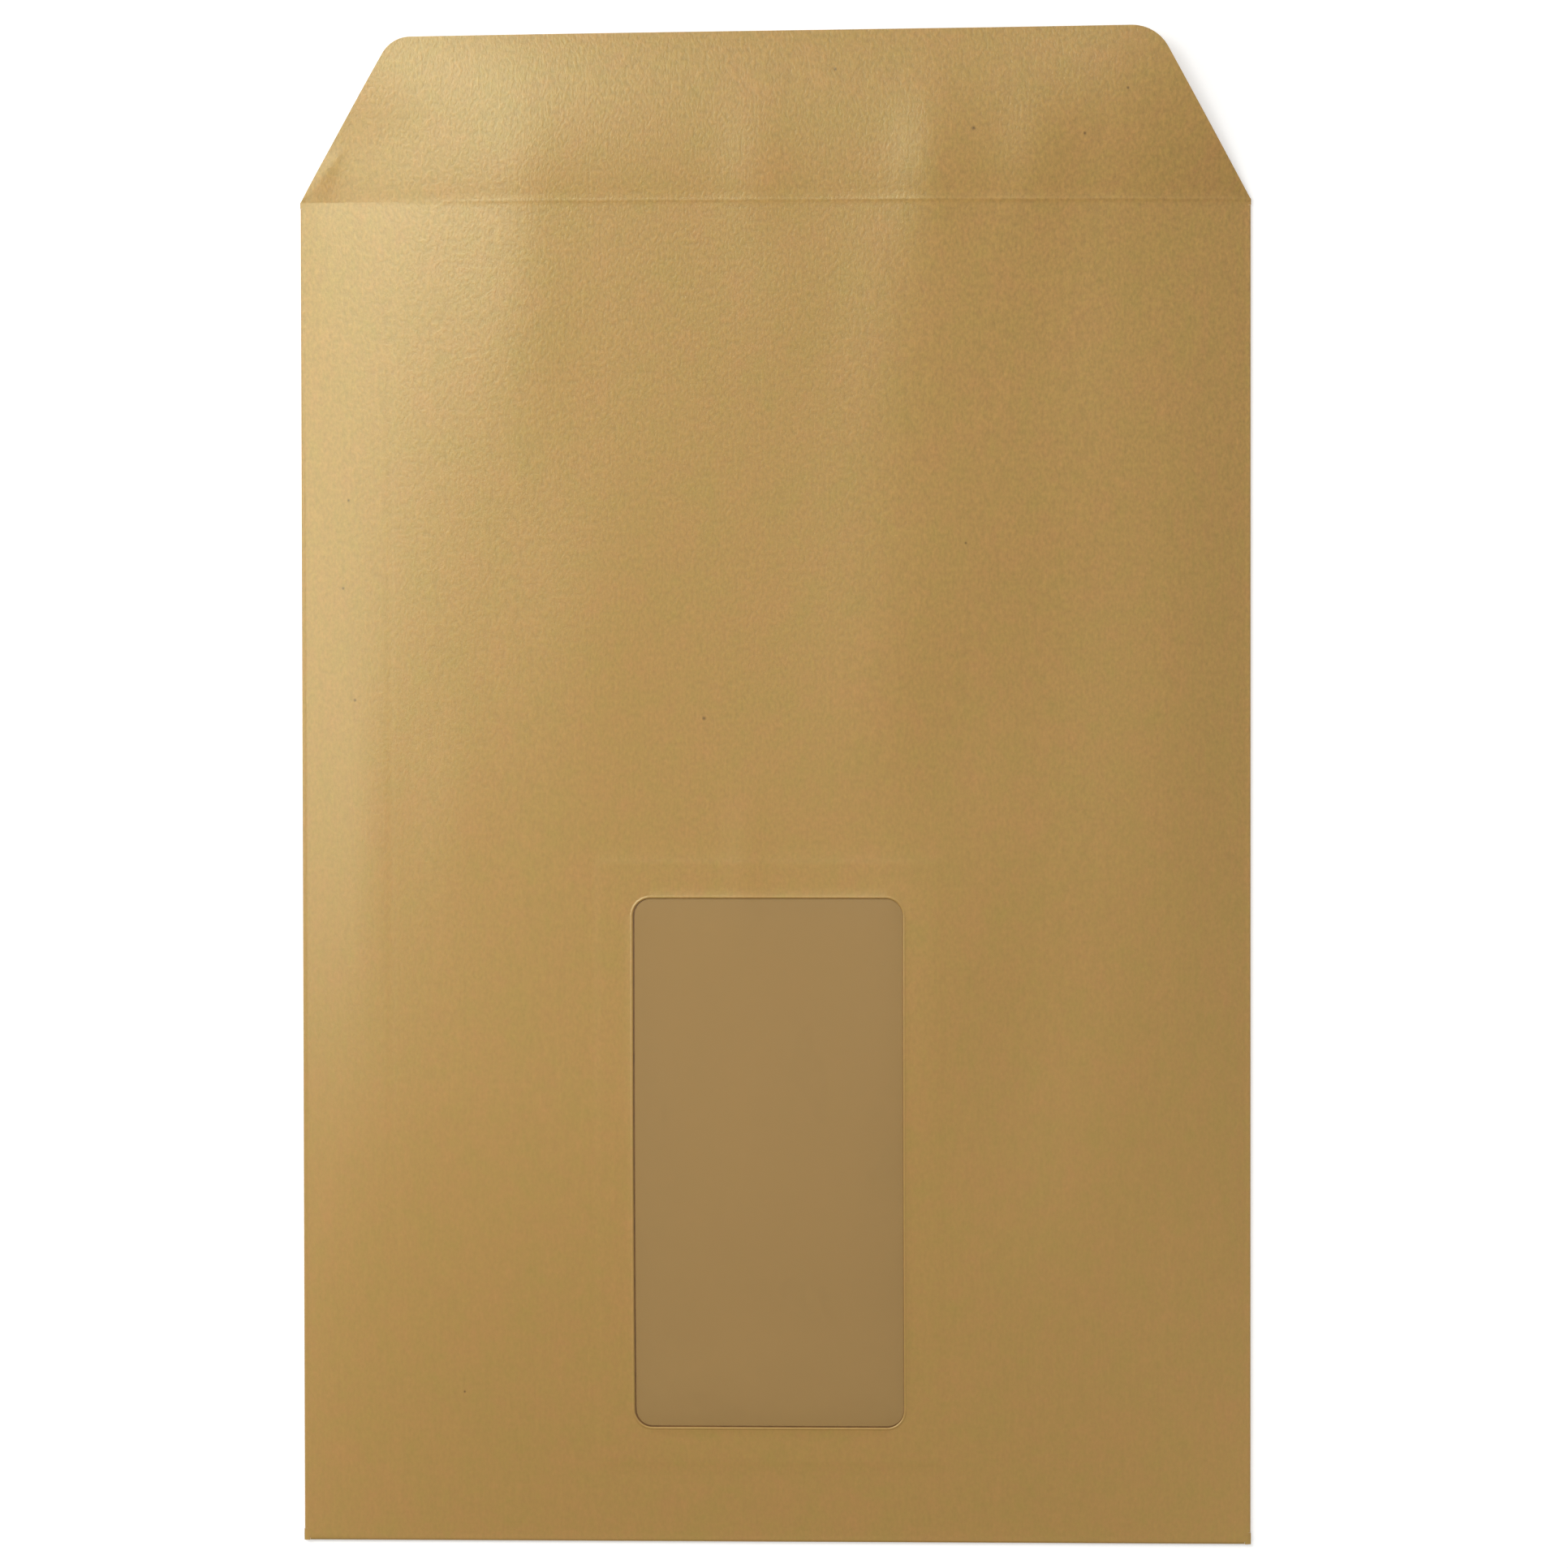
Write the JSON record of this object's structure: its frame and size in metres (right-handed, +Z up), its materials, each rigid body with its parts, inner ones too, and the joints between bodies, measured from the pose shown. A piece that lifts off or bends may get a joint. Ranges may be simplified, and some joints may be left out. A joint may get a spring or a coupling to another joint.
{
  "type": "paper envelope",
  "caption": "Brown kraft paper pocket envelope with a clear address window and an open closing flap on its short side; holds folded letters.",
  "frame": {"origin": "middle of the footprint of envelope and open flap, on the outside of the back panel that it lies on", "axes": "+Z up through the window side, +X to the right of the window side, +Y from the bottom fold towards the closing flap"},
  "size_m": [0.162, 0.2582, 0.006],
  "materials": {
    "kraft_paper": "satin",
    "window_film": "gloss",
    "dry_gum": "satin"
  },
  "bodies": {
    "root": {"envelope": "kraft_paper", "window_film": "window_film", "flap_gum": "dry_gum"}
  },
  "joints": []
}
